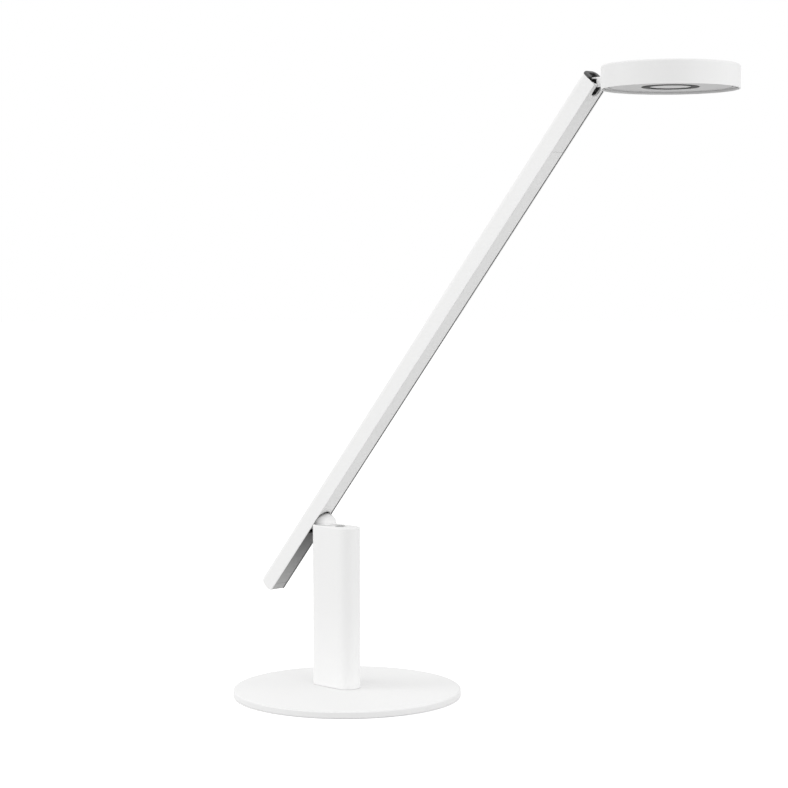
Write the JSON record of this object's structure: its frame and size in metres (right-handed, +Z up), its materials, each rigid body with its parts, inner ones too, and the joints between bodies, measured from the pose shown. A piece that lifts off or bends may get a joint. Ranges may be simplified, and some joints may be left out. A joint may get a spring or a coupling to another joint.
{
  "type": "swing arm desk lamp",
  "caption": "Desk lamp with a round foot, an oblong column, a long arm that tilts in a domed swivel on top, and a flat round LED head on a hinged neck.",
  "frame": {"origin": "centre of the underside of the round foot, on the surface it stands on", "axes": "+Z up, +X towards the head along the column's long side, the arm swings in the XZ plane at rest"},
  "size_m": [0.5056, 0.2, 0.5269],
  "materials": {
    "white_alloy": "fine matt powder coat",
    "white_steel": "fine matt powder coat",
    "white_plastic": "matt moulded",
    "dark_plastic": "matt anthracite",
    "black_plastic": "matt black",
    "bearing_plastic": "smooth bearing plastic",
    "rubber_pad": "fine grained anti-slip sheet",
    "steel": "zinc plated",
    "black_alloy": "matt black anodised",
    "alloy": "bare, machined",
    "circuit_board": "solder resist",
    "white_board": "white solder resist",
    "led_phosphor": "phosphor under clear resin",
    "opal": "satin opal acrylic",
    "lead_sheath": "smooth sheath"
  },
  "bodies": {
    "foot": {"base_pad": "rubber_pad", "base_plate": "white_steel", "base_screws": "steel", "column_screws": "steel", "column_plug": "alloy", "column_shell": "white_alloy", "swivel_bush": "white_plastic", "snap_switch": "black_plastic", "switch_board": "circuit_board", "board_screws": "steel", "driver_board": "circuit_board", "power_inlet": "black_plastic", "inlet_contact": "steel"},
    "button": {"power_button": "white_plastic", "switch_plunger": "black_plastic"},
    "turret": {"turret_dome": "white_alloy", "stop_washer": "steel", "disc_spring": "steel", "spindle_nut": "steel", "tilt_axle": "steel", "tilt_washers": "bearing_plastic"},
    "arm": {"arm_profile": "white_alloy", "end_cap": "white_plastic", "tail_cover": "white_plastic", "main_cover": "white_plastic", "top_cover": "white_plastic", "arm_bracket": "white_alloy", "bracket_screws": "steel", "arm_lead": "lead_sheath", "hinge_insert": "dark_plastic", "insert_screws": "steel", "head_axle": "steel", "head_washers": "bearing_plastic"},
    "head": {"head_neck": "black_alloy", "neck_cover": "white_alloy", "neck_screws": "steel", "head_housing": "white_alloy", "heat_sink": "alloy", "head_screws": "steel", "led_board": "white_board", "led_chips": "led_phosphor", "reflector_cup": "white_plastic", "diffuser_ring": "opal", "outer_bezel": "white_plastic", "centre_ring": "dark_plastic", "centre_disc": "opal"}
  },
  "joints": [
    {"name": "swivel", "type": "hinge", "parent": "foot", "child": "turret", "pos_m": [-0.027, 0, 0.1485], "axis": [0, 0, 1], "range_deg": [-45, 45]},
    {"name": "arm_tilt", "type": "hinge", "parent": "turret", "child": "arm", "pos_m": [-0.027, 0, 0.1525], "axis": [0, 1, 0], "range_deg": [0, 49]},
    {"name": "head_tilt", "type": "hinge", "parent": "arm", "child": "head", "pos_m": [0.27297, 0, 0.51726], "axis": [0, 1, 0], "range_deg": [-49, 40]},
    {"name": "power_press", "type": "slide", "parent": "foot", "child": "button", "axis": [0, 0, -1], "range_m": [0, 0.0006], "stiffness_N_per_m": 2500, "springref_m": -0.0002}
  ]
}
